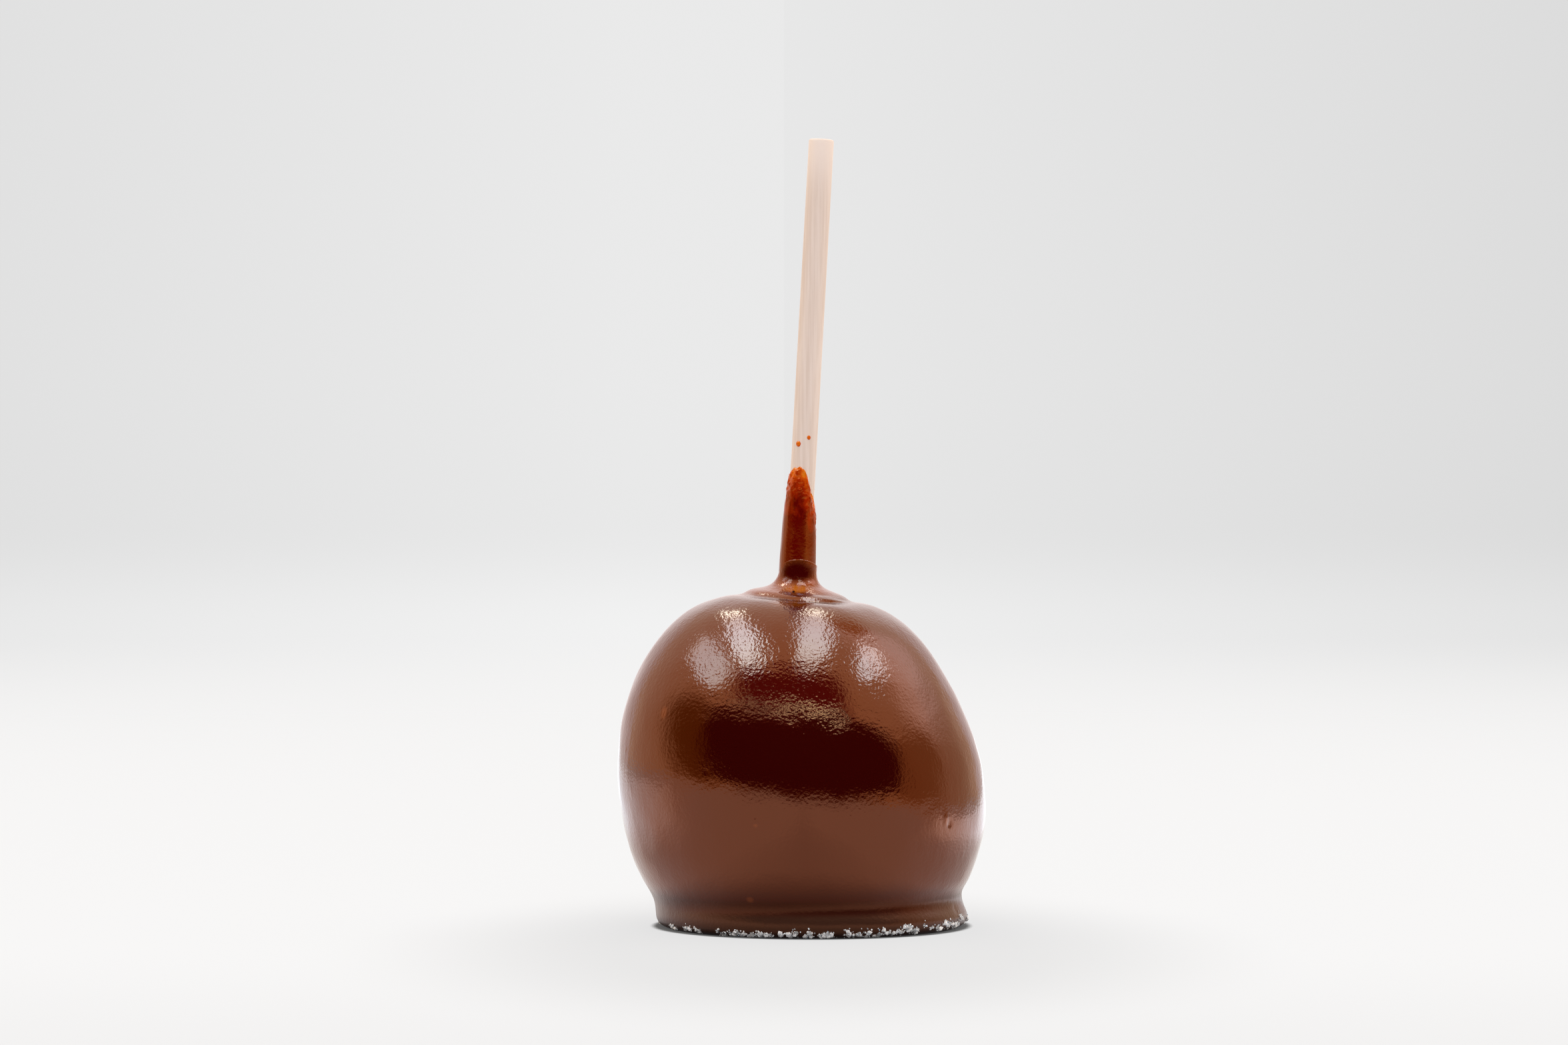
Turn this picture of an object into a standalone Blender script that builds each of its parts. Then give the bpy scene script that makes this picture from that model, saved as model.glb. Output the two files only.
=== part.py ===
"""Caramel apple: an apple on a round wooden stick, dipped in caramel and set down on sugar.

Metres, +Z up. The origin is on the flat base that the apple rests on. +X is the side that the stick
leans to, and -Y is the front. Three solids: the stick, the apple in its coat with the sugar that
clings to its rim, and the tongue of caramel that ran up the stick.
"""

import math
import random

import bmesh
import bpy
import numpy as np
from mathutils import Euler, Matrix, Vector

MM = 0.001
FIT_GAP = 0.3 * MM  # the play between two pieces that touch

# The stick: a round dowel that leans to +X, pushed some 40 mm into the apple's core.
STICK_RADIUS = 2.78 * MM
STICK_LENGTH = 140 * MM
STICK_LEAN = math.radians(3.17)
STICK_TOP = Vector((4.4 * MM, 0, 175 * MM))
STICK_CHAMFER = 0.45 * MM
STICK_SIDES = 32

# The coated apple's outline, from the base up to the collar round the stick. Each station gives the
# reach from the origin's vertical line and the height, in mm: on the left (-X) and on the right (+X).
OUTLINE = {
    "flat edge": ((30.0, 0.0), (34.6, 0.0)),
    "undercut": ((31.1, 0.45), (35.7, 0.5)),
    "lip": ((32.0, 1.3), (36.5, 1.4)),
    "rim": ((32.35, 2.3), (36.8, 2.5)),
    "foot": ((32.5, 3.9), (36.3, 4.1)),
    "waist": ((33.05, 6.4), (35.55, 7.1)),
    "flare": ((35.0, 10.0), (36.8, 10.1)),
    "low belly": ((38.15, 17.0), (39.55, 17.2)),
    "belly": ((40.7, 30.0), (40.85, 27.0)),
    "full belly": ((40.85, 38.5), (39.5, 37.5)),
    "high belly": ((39.45, 48.5), (35.85, 47.5)),
    "shoulder": ((35.1, 59.3), (30.55, 57.6)),
    "upper shoulder": ((27.2, 68.9), (21.8, 67.7)),
    "brow": ((20.6, 72.5), (15.6, 71.2)),
    "moat": ((16.0, 73.6), (13.0, 71.8)),
    "ridge foot": ((13.1, 74.0), (10.7, 72.35)),
    "ridge": ((11.8, 74.65), (9.65, 73.05)),
    "skirt": ((8.8, 75.35), (6.5, 74.45)),
    "collar foot": ((6.4, 76.4), (4.2, 75.9)),
    "collar": ((5.3, 78.0), (3.42, 77.6)),
    "collar top": ((4.97, 79.9), (3.45, 79.9)),
}
ROWS_BETWEEN = (1, 1, 1, 1, 1, 2, 3, 4, 2, 3, 4, 4, 3, 2, 1, 2, 2, 2, 1, 1)
APPLE_SIDES = 64
FRONT_FULLNESS = 0.012  # how much further than its mean reach the front stands out, and the back less
FRONT_SAG = 0.6 * MM  # how much lower than on its sides the ridge round the collar lies in front
FRONT_SAG_REACH = (6 * MM, 10 * MM, 12.5 * MM, 19 * MM)  # it comes and goes between these reaches
FRONT_SAG_ABOVE = 60 * MM
WAIST_HOLLOW = (8.4 * MM, 2.4 * MM, 0.16 * MM)  # height, half height and depth of the waist's hollow in front
BORE_DEPTH_BELOW_STICK = FIT_GAP

# Gentle lobes of the fruit: how many go round, how high in mm, and where the first crest lies, from
# the front towards +X.
LOBES = ((3, 0.10, math.radians(70)), (5, 0.14, math.radians(12)))
LOBES_RISE_Z = (25 * MM, 58 * MM)  # below the first they are gone, above the second they are full
LOBES_FALL_REACH = (12 * MM, 20 * MM)  # and they are gone again inside the first reach

# The caramel on the stick: a tongue that is highest on the front left. Its edge's height in mm at each
# side, in degrees from the front towards +X.
SLEEVE_FOOT_Z = 80.2 * MM
SLEEVE_EDGE = (
    (-180, 90.6), (-150, 91.8), (-120, 95.8), (-90, 100.0), (-60, 101.5), (-35, 101.9), (-8, 101.9),
    (6, 101.5), (19, 100.3), (27, 98.6), (42, 96.7), (65, 95.2), (85, 93.4), (120, 91.6), (180, 90.6),
)
SLEEVE_THICKNESS = 1.6 * MM
SLEEVE_SWELLING = 0.385  # mm of thickness at 1 mm below its edge, growing as the root of the depth
SLEEVE_LEAST_WALL = 0.22 * MM
SLEEVE_SIDES = 40
SLEEVE_ROWS = 9

# Sugar grains on the rim: eight-sided crystals that cling in clumps, each (side in degrees from the
# front towards +X, height of the middle in mm, number of grains).
CLUMPS = (
    (-90, 0.6, 1), (-62, 0.9, 3), (-50, 1.1, 4), (-45, 0.9, 3), (-36, 0.8, 1), (-33, 0.6, 1),
    (-30, 0.6, 3), (-26, 0.8, 3), (-23, 0.9, 4), (-20, 0.7, 3), (-16, 0.8, 2), (-14, 0.7, 4),
    (-12, 0.8, 2), (-8, 1.1, 2), (-4, 0.9, 2), (-1, 1.1, 3), (2, 0.9, 3), (7, 0.7, 3), (10, 1.0, 4),
    (16, 1.3, 2), (18, 0.9, 4), (21, 1.0, 2), (24, 0.8, 2), (27, 0.8, 2), (30, 2.0, 1), (31, 1.0, 2),
    (35, 1.1, 4), (39, 2.1, 4), (40, 1.3, 3), (43, 1.2, 3), (45, 2.0, 2), (51, 1.7, 1), (54, 1.4, 2),
    (58, 2.0, 2), (61, 1.7, 3), (66, 1.7, 3), (70, 1.4, 1), (72, 2.5, 2), (83, 1.6, 2), (90, 2.1, 1),
    (101, 1.1, 4), (112, 0.9, 2), (124, 1.4, 5), (139, 0.8, 3), (150, 1.6, 4), (166, 1.0, 6),
    (181, 0.8, 3), (193, 1.3, 5), (207, 0.9, 2), (219, 1.1, 4), (236, 0.8, 3), (249, 1.2, 3),
)
CLUMP_SPREAD = math.radians(1.0)
CLUMP_RISE = 0.22 * MM
LOWEST_GRAIN_Z = 0.4 * MM  # of a grain's middle
GRAIN_SIZE = (0.7 * MM, 1.15 * MM)
GRAIN_CLEARANCE = 0.12 * MM  # the least height of any point of a grain
GRAIN_SUNK = 0.10 * MM  # how far inside the caramel a grain's middle lies
GRAIN_BEVEL = 0.3  # the share of its half width that is cut from its edges
GRAIN_SEED = 11


def clear_scene():
    for old in list(bpy.data.objects):
        bpy.data.objects.remove(old, do_unlink=True)


def principled(name, colour, roughness):
    material = bpy.data.materials.new(name)
    material.use_nodes = True
    shader = material.node_tree.nodes["Principled BSDF"]
    shader.inputs["Base Color"].default_value = (*colour, 1)
    shader.inputs["Roughness"].default_value = roughness
    shader.inputs["Metallic"].default_value = 0.0
    return material


def natural_spline(knots, values):
    """The smooth curve through the values at the knots, as a function of the place along them."""
    steps = np.diff(knots)
    last = len(knots) - 1
    system = np.eye(last + 1)
    turns = np.zeros_like(values)
    for i in range(1, last):
        system[i, i - 1 : i + 2] = steps[i - 1], 2 * (steps[i - 1] + steps[i]), steps[i]
        rise_after = (values[i + 1] - values[i]) / steps[i]
        rise_before = (values[i] - values[i - 1]) / steps[i - 1]
        turns[i] = 6 * (rise_after - rise_before)
    bend = np.linalg.solve(system, turns)

    def at(place):
        i = min(max(int(np.searchsorted(knots, place)) - 1, 0), last - 1)
        step = steps[i]
        after, before = place - knots[i], knots[i + 1] - place
        curved = (bend[i] * before**3 + bend[i + 1] * after**3) / (6 * step)
        start = (values[i] / step - bend[i] * step / 6) * before
        end = (values[i + 1] / step - bend[i + 1] * step / 6) * after
        return curved + start + end

    return at


def smooth_step(low, high, value):
    share = min(max((value - low) / (high - low), 0.0), 1.0)
    return share * share * (3 - 2 * share)


def turn_between(a, b):
    """The angle from b to a, between minus and plus half a turn."""
    return (a - b + math.pi) % (2 * math.pi) - math.pi


# Stick


def stick_direction():
    return Vector((math.sin(STICK_LEAN), 0, math.cos(STICK_LEAN)))


def stick_point(z):
    """The point of the stick's axis at height z."""
    along = (z - STICK_TOP.z) / math.cos(STICK_LEAN)
    return STICK_TOP + stick_direction() * along


def stick_ring(centre, radius, sides, side_first=0.0):
    """A circle of points square to the stick's axis."""
    across = Vector((math.cos(STICK_LEAN), 0, -math.sin(STICK_LEAN)))
    depth = Vector((0, 1, 0))
    turns = [side_first + 2 * math.pi * i / sides for i in range(sides)]
    return [centre + radius * (math.cos(turn) * across + math.sin(turn) * depth) for turn in turns]


def loft(name, rings, material):
    """A closed body through rings of equally many points, the first and the last filled flat."""
    mesh = bmesh.new()
    loops = [[mesh.verts.new(point) for point in ring] for ring in rings]
    sides = len(rings[0])
    for lower, upper in zip(loops, loops[1:]):
        for i in range(sides):
            j = (i + 1) % sides
            mesh.faces.new((lower[i], lower[j], upper[j], upper[i]))
    mesh.faces.new(reversed(loops[0]))
    mesh.faces.new(loops[-1])
    data = bpy.data.meshes.new(name)
    mesh.to_mesh(data)
    mesh.free()
    data.materials.append(material)
    body = bpy.data.objects.new(name, data)
    bpy.context.scene.collection.objects.link(body)
    return body


def shade(body, sharp_angle):
    body.data.shade_smooth()
    body.data.set_sharp_from_angle(angle=math.radians(sharp_angle))


def make_stick():
    direction = stick_direction()
    foot = STICK_TOP - direction * STICK_LENGTH
    narrow = STICK_RADIUS - STICK_CHAMFER
    stations = (
        (foot, narrow),
        (foot + direction * STICK_CHAMFER, STICK_RADIUS),
        (STICK_TOP - direction * STICK_CHAMFER, STICK_RADIUS),
        (STICK_TOP, narrow),
    )
    rings = [stick_ring(centre, radius, STICK_SIDES) for centre, radius in stations]
    stick = loft("stick", rings, principled("birch", (0.72, 0.58, 0.48), 0.6))
    shade(stick, 30)
    return stick


# Coated apple


def lobe_height(side, reach, z):
    """How far the lobes lift the surface at an angle from the front, a reach and a height."""
    rise = smooth_step(*LOBES_RISE_Z, z) * smooth_step(*LOBES_FALL_REACH, reach)
    return rise * sum(height * MM * math.cos(count * (side - crest)) for count, height, crest in LOBES)


def outline_curves():
    """Left and right outline as one smooth curve of (left reach, left z, right reach, right z)."""
    stations = np.array([[*left, *right] for left, right in OUTLINE.values()]) * MM
    middle = (stations[:, :2] + stations[:, 2:]) / 2
    lengths = np.linalg.norm(np.diff(middle, axis=0), axis=1)
    knots = np.concatenate(([0.0], np.cumsum(lengths)))
    return knots, natural_spline(knots, stations)


def surface_point(outline, place, turn):
    """A point of the coat: place runs up the outline, turn goes round from +X towards +Y."""
    left_reach, left_z, right_reach, right_z = outline(place)
    to_right = (1 + math.cos(turn)) / 2
    reach = left_reach + (right_reach - left_reach) * to_right
    z = left_z + (right_z - left_z) * to_right
    if z > FRONT_SAG_ABOVE:
        start, full, last, end = FRONT_SAG_REACH
        sagging = smooth_step(start, full, reach) * smooth_step(end, last, reach)
        z -= FRONT_SAG * sagging * max(-math.sin(turn), 0) ** 2
    reach *= 1 - FRONT_FULLNESS * math.sin(turn)
    middle, half_height, depth = WAIST_HOLLOW
    reach -= depth * math.exp(-(((z - middle) / half_height) ** 2)) * max(-math.sin(turn), 0)
    tilt = math.atan2(z, reach) / 2
    lobe = lobe_height(turn + math.pi / 2, reach, z)
    reach += lobe * math.cos(tilt)
    z += lobe * math.sin(tilt)
    return Vector((reach * math.cos(turn), reach * math.sin(turn), max(z, 0.0)))


def outline_places(knots):
    places = []
    for start, end, rows in zip(knots, knots[1:], ROWS_BETWEEN):
        places += [start + (end - start) * row / rows for row in range(rows)]
    return places + [knots[-1]]


def make_coated_apple():
    knots, outline = outline_curves()
    turns = [2 * math.pi * i / APPLE_SIDES for i in range(APPLE_SIDES)]
    rings = [[surface_point(outline, place, turn) for turn in turns] for place in outline_places(knots)]
    for point in rings[0]:
        point.z = 0.0
    bore_radius = STICK_RADIUS + FIT_GAP
    bore_top = stick_point(OUTLINE["collar top"][0][1] * MM)
    bore_floor = STICK_TOP - stick_direction() * (STICK_LENGTH + BORE_DEPTH_BELOW_STICK)
    rings.append(stick_ring(bore_top, bore_radius, APPLE_SIDES))
    rings.append(stick_ring(bore_floor, bore_radius, APPLE_SIDES))
    apple = loft("coated_apple", rings, principled("caramel", (0.11, 0.035, 0.018), 0.15))
    shade(apple, 50)
    return apple


def make_grain(size, draw):
    """One sugar crystal about its own middle: a squat box with its long edges cut off."""
    mesh = bmesh.new()
    bmesh.ops.create_cube(mesh, size=1.0)
    upright = [e for e in mesh.edges if abs(e.verts[0].co.z - e.verts[1].co.z) > 0.5]
    bmesh.ops.bevel(mesh, geom=upright, offset=GRAIN_BEVEL / 2, segments=1, affect="EDGES")
    proportions = Vector((1.0, draw.uniform(0.7, 1.0), draw.uniform(0.65, 0.95)))
    bmesh.ops.scale(mesh, vec=proportions * size, verts=mesh.verts)
    attitude = Euler([draw.uniform(0, 2 * math.pi) for _ in range(3)]).to_matrix().to_4x4()
    bmesh.ops.transform(mesh, matrix=attitude, verts=mesh.verts)
    return mesh


def grain_places(draw):
    """Where the grains lie round the rim: (turn, height of the middle, size), clump by clump."""
    for side, clump_z, count in CLUMPS:
        for _ in range(count):
            turn = draw.gauss(math.radians(side - 90), CLUMP_SPREAD)
            height = max(LOWEST_GRAIN_Z, draw.gauss(clump_z * MM, CLUMP_RISE))
            yield turn, height, draw.uniform(*GRAIN_SIZE)


def rim_point(outline, knots, turn, height):
    """The point of the rim at that height: the outline's first stations bulge out and up."""
    low, high = knots[0], knots[4]
    for _ in range(24):
        middle = (low + high) / 2
        if surface_point(outline, middle, turn).z < height:
            low = middle
        else:
            high = middle
    return surface_point(outline, low, turn)


def make_grains(material):
    knots, outline = outline_curves()
    draw = random.Random(GRAIN_SEED)
    grains = bpy.data.collections.new("grains")
    bpy.context.scene.collection.children.link(grains)
    for index, (turn, height, size) in enumerate(grain_places(draw)):
        mesh = make_grain(size, draw)
        rim = rim_point(outline, knots, turn, height)
        outward = Vector((math.cos(turn), math.sin(turn), 0))
        lowest = min(vert.co.z for vert in mesh.verts)
        middle = rim - outward * GRAIN_SUNK
        middle.z = max(middle.z, GRAIN_CLEARANCE - lowest)
        bmesh.ops.transform(mesh, matrix=Matrix.Translation(middle), verts=mesh.verts)
        data = bpy.data.meshes.new(f"grain_{index}")
        mesh.to_mesh(data)
        mesh.free()
        data.materials.append(material)
        grains.objects.link(bpy.data.objects.new(f"grain_{index}", data))
    return grains


def fuse(body, pieces):
    """Joins the pieces of a collection to the body by one Boolean union, then removes them."""
    union = body.modifiers.new("sugar", "BOOLEAN")
    union.operation = "UNION"
    union.operand_type = "COLLECTION"
    union.collection = pieces
    union.solver = "EXACT"
    depsgraph = bpy.context.evaluated_depsgraph_get()
    fused = bpy.data.meshes.new_from_object(body.evaluated_get(depsgraph))
    body.modifiers.clear()
    body.data = fused
    for piece in list(pieces.objects):
        bpy.data.objects.remove(piece, do_unlink=True)
    bpy.data.collections.remove(pieces)


# Caramel sleeve


def sleeve_edge_z(side):
    """The height of the tongue's edge at an angle from the front towards +X."""
    sides, heights = zip(*SLEEVE_EDGE)
    return float(np.interp(math.degrees(turn_between(side, 0)), sides, heights)) * MM


def sleeve_thickness(below_edge):
    """The caramel's thickness at a depth below its edge: a blunt edge that swells to a full wall."""
    swelling = SLEEVE_SWELLING * math.sqrt(below_edge / MM)
    if swelling == 0:
        return 0.0
    return (swelling**-4 + (SLEEVE_THICKNESS / MM) ** -4) ** -0.25 * MM


def make_sleeve():
    inner_radius = STICK_RADIUS + FIT_GAP
    across = Vector((math.cos(STICK_LEAN), 0, -math.sin(STICK_LEAN)))
    turns = [2 * math.pi * i / SLEEVE_SIDES for i in range(SLEEVE_SIDES)]
    outward = [math.cos(turn) * across + math.sin(turn) * Vector((0, 1, 0)) for turn in turns]
    edges = [sleeve_edge_z(turn + math.pi / 2) for turn in turns]

    def point(i, share, radius):
        z = SLEEVE_FOOT_Z + (edges[i] - SLEEVE_FOOT_Z) * share
        return stick_point(z) + outward[i] * radius

    def outer_radius(i, share):
        below_edge = (edges[i] - SLEEVE_FOOT_Z) * (1 - share)
        return STICK_RADIUS + max(sleeve_thickness(below_edge), FIT_GAP + SLEEVE_LEAST_WALL)

    shares = [1 - (1 - row / SLEEVE_ROWS) ** 1.5 for row in range(SLEEVE_ROWS + 1)]
    sides = range(SLEEVE_SIDES)
    outer = [[point(i, share, outer_radius(i, share)) for i in sides] for share in shares]
    inner = [[point(i, share, inner_radius) for i in sides] for share in (1.0, 0.0)]
    sleeve = tube("caramel_sleeve", outer + inner, principled("amber_caramel", (0.28, 0.06, 0.01), 0.15))
    shade(sleeve, 50)
    return sleeve


def tube(name, rings, material):
    """A body through rings that close on each other, the last on the first."""
    mesh = bmesh.new()
    loops = [[mesh.verts.new(point) for point in ring] for ring in rings]
    sides = len(rings[0])
    for lower, upper in zip(loops, loops[1:] + loops[:1]):
        for i in range(sides):
            j = (i + 1) % sides
            mesh.faces.new((lower[i], lower[j], upper[j], upper[i]))
    data = bpy.data.meshes.new(name)
    mesh.to_mesh(data)
    mesh.free()
    data.materials.append(material)
    body = bpy.data.objects.new(name, data)
    bpy.context.scene.collection.objects.link(body)
    return body


def main():
    clear_scene()
    make_stick()
    apple = make_coated_apple()
    fuse(apple, make_grains(principled("sugar", (0.85, 0.83, 0.80), 0.25)))
    make_sleeve()


main()
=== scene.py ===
"""The looks of a caramel apple on a wooden stick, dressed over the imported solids.

Metres, +Z up, the front is -Y. The coat, the tongue of caramel on the stick, the stick, the sugar on
the rim and two drops of caramel are meshes made here, from the same named sizes as the solids.
Sides are angles from the front towards +X; turns are angles from +X towards +Y.
"""

import math
import random

import bmesh
import bpy
import numpy as np
from mathutils import Euler, Matrix, Vector, noise


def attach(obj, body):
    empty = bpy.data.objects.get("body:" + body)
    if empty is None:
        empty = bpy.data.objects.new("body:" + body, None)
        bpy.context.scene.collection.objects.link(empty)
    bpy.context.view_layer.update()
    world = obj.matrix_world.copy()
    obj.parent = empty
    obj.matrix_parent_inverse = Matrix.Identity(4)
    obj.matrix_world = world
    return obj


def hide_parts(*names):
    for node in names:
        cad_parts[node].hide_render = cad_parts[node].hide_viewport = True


MM = 0.001

# Stick, as in the solids: a round dowel that leans to +X. Its ends are rounded over here.
STICK_RADIUS = 2.78 * MM
STICK_LENGTH = 140 * MM
STICK_LEAN = math.radians(3.17)
STICK_TOP = Vector((4.4 * MM, 0, 175 * MM))
STICK_ROUNDING = 0.5 * MM
STICK_SIDES = 96
STICK_ROWS = 60
STICK_ARC_POINTS = 7  # over the rounding of each end
STICK_SHARP_ANGLE = math.radians(40)  # edges that turn more than this are shaded sharp

# The coat's outline, as in the solids: (reach, height) in mm on the left and on the right.
OUTLINE = {
    "flat edge": ((30.0, 0.0), (34.6, 0.0)),
    "undercut": ((31.1, 0.45), (35.7, 0.5)),
    "lip": ((32.0, 1.3), (36.5, 1.4)),
    "rim": ((32.35, 2.3), (36.8, 2.5)),
    "foot": ((32.5, 3.9), (36.3, 4.1)),
    "waist": ((33.05, 6.4), (35.55, 7.1)),
    "flare": ((35.0, 10.0), (36.8, 10.1)),
    "low belly": ((38.15, 17.0), (39.55, 17.2)),
    "belly": ((40.7, 30.0), (40.85, 27.0)),
    "full belly": ((40.85, 38.5), (39.5, 37.5)),
    "high belly": ((39.45, 48.5), (35.85, 47.5)),
    "shoulder": ((35.1, 59.3), (30.55, 57.6)),
    "upper shoulder": ((27.2, 68.9), (21.8, 67.7)),
    "brow": ((20.6, 72.5), (15.6, 71.2)),
    "moat": ((16.0, 73.6), (13.0, 71.8)),
    "ridge foot": ((13.1, 74.0), (10.7, 72.35)),
    "ridge": ((11.8, 74.65), (9.65, 73.05)),
    "skirt": ((8.8, 75.35), (6.5, 74.45)),
    "collar foot": ((6.4, 76.4), (4.2, 75.9)),
    "collar": ((5.3, 78.0), (3.42, 77.6)),
    "collar top": ((4.97, 79.9), (3.45, 79.9)),
}
# Rows of points from each line of the outline to the next.
COAT_ROWS = (2, 3, 3, 3, 5, 6, 12, 20, 13, 16, 20, 20, 13, 10, 8, 14, 14, 8, 7, 7)
COAT_SIDES = 480
FRONT_FULLNESS = 0.012  # the share by which the front stands out further, and the back less
FRONT_SAG = 0.6 * MM  # how much lower than on its sides the ridge round the collar lies in front
FRONT_SAG_REACH = (6 * MM, 10 * MM, 12.5 * MM, 19 * MM)  # it comes and goes between these reaches
FRONT_SAG_ABOVE = 60 * MM  # and only above this height
# The height, half height and depth of the hollow that the waist has in front.
WAIST_HOLLOW = (8.4 * MM, 2.4 * MM, 0.16 * MM)

# Gentle lobes of the fruit: how many go round, how high in mm, and where the first crest lies.
LOBES = ((3, 0.10, math.radians(70)), (5, 0.14, math.radians(12)))
LOBES_RISE_Z = (25 * MM, 58 * MM)  # below the first they are gone, above the second they are full
LOBES_FALL_REACH = (12 * MM, 20 * MM)  # and they are gone again inside the first reach

# Dents and bumps of the coat: side in degrees, height in mm, half width and half height in mm, and
# how far it stands out in mm.
MARKS = (
    (49.2, 25.4, 0.45, 1.1, 0.24), (51.2, 24.2, 0.55, 0.6, -0.32), (-30.0, 36.2, 0.45, 0.40, -0.10),
    (-14.3, 25.5, 0.70, 0.60, 0.17), (-14.3, 24.6, 0.55, 0.45, -0.15), (39.8, 27.5, 0.55, 0.55, -0.07),
    (38.2, 19.8, 0.4, 0.45, -0.06), (62.2, 17.2, 0.45, 1.0, 0.07), (69.0, 4.7, 1.1, 0.8, -0.12),
    (-66.0, 30.6, 0.5, 0.9, 0.08), (-71.2, 39.7, 0.5, 0.7, 0.08), (33.0, 64.3, 1.3, 0.9, -0.09),
    (-3.0, 46.0, 0.6, 0.5, 0.03), (120.0, 30.0, 0.9, 1.4, 0.12), (160.0, 52.0, 1.2, 0.9, -0.10),
    (-150.0, 22.0, 0.8, 1.2, 0.10), (-115.0, 47.0, 0.9, 0.7, -0.08),
)
SKIRT_ABOVE = 70 * MM  # the skirt and the collar lie above this height
# A fold of the skirt in front: the reaches where it starts, is highest and has dropped, how high it is,
# and its middle and half width in degrees from the front.
FOLD_REACH = (9.0 * MM, 11.7 * MM, 12.5 * MM)
FOLD_HEIGHT = 0.52 * MM
FOLD_SIDE = (17.0, 34.0)
# Low swellings in front, below and above the waist: height, half height and height of relief.
FOOT_SWELLINGS = ((3.8 * MM, 1.3 * MM, 0.12 * MM), (10.0 * MM, 2.0 * MM, 0.11 * MM))
WAVES = ((7 * MM, 0.05 * MM, 3), (2.6 * MM, 0.012 * MM, 5))  # size, height and seed of the coat's waves
WAVES_RISE_Z = (2 * MM, 5 * MM)
WAVES_FALL_Z = (74 * MM, 77 * MM)

# The caramel on the stick, as in the solids: its edge's height in mm at each side in degrees.
SLEEVE_FOOT_Z = 78.6 * MM  # inside the collar, and so lower than the solid's
SLEEVE_EDGE = (
    (-180, 90.6), (-150, 91.8), (-120, 95.8), (-90, 100.0), (-60, 101.5), (-35, 101.9), (-8, 101.9),
    (6, 101.5), (19, 100.3), (27, 98.6), (42, 96.7), (65, 95.2), (85, 93.4), (120, 91.6), (180, 90.6),
)
SLEEVE_THICKNESS = 1.6 * MM
SLEEVE_SWELLING = 0.385  # mm of thickness at 1 mm below its edge, growing as the root of the depth
SLEEVE_EDGE_ROUNDING = 0.35 * MM  # the depth over which its edge is rounded
SLEEVE_EDGE_THICKNESS = 0.3 * MM
SLEEVE_SIDES = 160
SLEEVE_ROWS = 130
SLEEVE_CROWDING = 1.8  # above 1, the rows crowd towards the edge
# The sleeve's unevenness, each as the size, height and seed of its noise.
SLEEVE_RAGGED_EDGE = (0.9 * MM, 0.5 * MM, 9)
SLEEVE_RAGGED_RING = (98 * MM, 3 * MM)  # height and radius of the ring on which that noise is read
SLEEVE_LUMPS = ((1.3 * MM, 0.32 * MM, 21), (0.6 * MM, 0.16 * MM, 22))
SLEEVE_LUMPS_FADE = (2 * MM, 9 * MM)  # the depths below the edge between which they fade
SLEEVE_WAVES = (1.6 * MM, 0.05 * MM, 23)
SLEEVE_WAVES_STRETCH = np.array((1, 1, 0.4))  # they are drawn out upwards
SLEEVE_EVEN_EDGE = 0.4 * MM  # the depth at which the lumps and the waves are full

COLLAR_ARCH = 1.4 * MM  # how much higher the collar's lip is in front than at its sides
COLLAR_ARCH_Z = (77.5 * MM, 79.9 * MM)  # it grows from the first height to the second
COLLAR_REACH = 4.3 * MM  # about its reach in front
COLLAR_ARCH_POWER = 1.5  # above 1, the arch is narrower
COLLAR_ROUNDING = 0.32 * MM
COLLAR_ROLL = 1.6  # how many times further the lip rolls inwards than upwards
COLLAR_ROLL_ROWS = 5

# Sugar on the rim, as in the solids: clumps as (side in degrees, height of the middle in mm, grains).
CLUMPS = (
    (-90, 0.6, 1), (-62, 0.9, 3), (-50, 1.1, 4), (-45, 0.9, 3), (-36, 0.8, 1), (-33, 0.6, 1),
    (-30, 0.6, 3), (-26, 0.8, 3), (-23, 0.9, 4), (-20, 0.7, 3), (-16, 0.8, 2), (-14, 0.7, 4),
    (-12, 0.8, 2), (-8, 1.1, 2), (-4, 0.9, 2), (-1, 1.1, 3), (2, 0.9, 3), (7, 0.7, 3), (10, 1.0, 4),
    (16, 1.3, 2), (18, 0.9, 4), (21, 1.0, 2), (24, 0.8, 2), (27, 0.8, 2), (30, 2.0, 1), (31, 1.0, 2),
    (35, 1.1, 4), (39, 2.1, 4), (40, 1.3, 3), (43, 1.2, 3), (45, 2.0, 2), (51, 1.7, 1), (54, 1.4, 2),
    (58, 2.0, 2), (61, 1.7, 3), (66, 1.7, 3), (70, 1.4, 1), (72, 2.5, 2), (83, 1.6, 2), (90, 2.1, 1),
    (101, 1.1, 4), (112, 0.9, 2), (124, 1.4, 5), (139, 0.8, 3), (150, 1.6, 4), (166, 1.0, 6),
    (181, 0.8, 3), (193, 1.3, 5), (207, 0.9, 2), (219, 1.1, 4), (236, 0.8, 3), (249, 1.2, 3),
)
CLUMP_SPREAD = math.radians(1.0)
CLUMP_RISE = 0.22 * MM
LOWEST_GRAIN_Z = 0.4 * MM  # of a grain's middle
GRAIN_SIZE = (0.7 * MM, 1.15 * MM)
GRAIN_PROPORTIONS = ((0.7, 1.0), (0.65, 0.95))  # least and most of its depth and height, to its width
GRAIN_CLEARANCE = 0.12 * MM  # the least height of any point of a grain
GRAIN_SUNK = 0.10 * MM  # how far inside the caramel a grain's middle lies
GRAIN_BEVEL = 0.3  # the share of its half width that is cut from its edges
GRAIN_WHITENESS = 1.5  # above 1, more grains are white than clear
GRAIN_SEED = 11
RIM_REACH = 34 * MM
RIM_PLACES = 80  # places up the rim where its height is tried
CRUMBS_PER_GRAIN = 6
LOWEST_CRUMB_Z = 0.3 * MM
CRUMB_SIZE = (0.22 * MM, 0.46 * MM)
CRUMB_SPREAD = 0.5 * MM
CRUMB_RISE = 0.42 * MM
CRUMB_OUT = 0.6 * MM  # how far out from the rim a crumb may stand, on the grain it clings to

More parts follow.
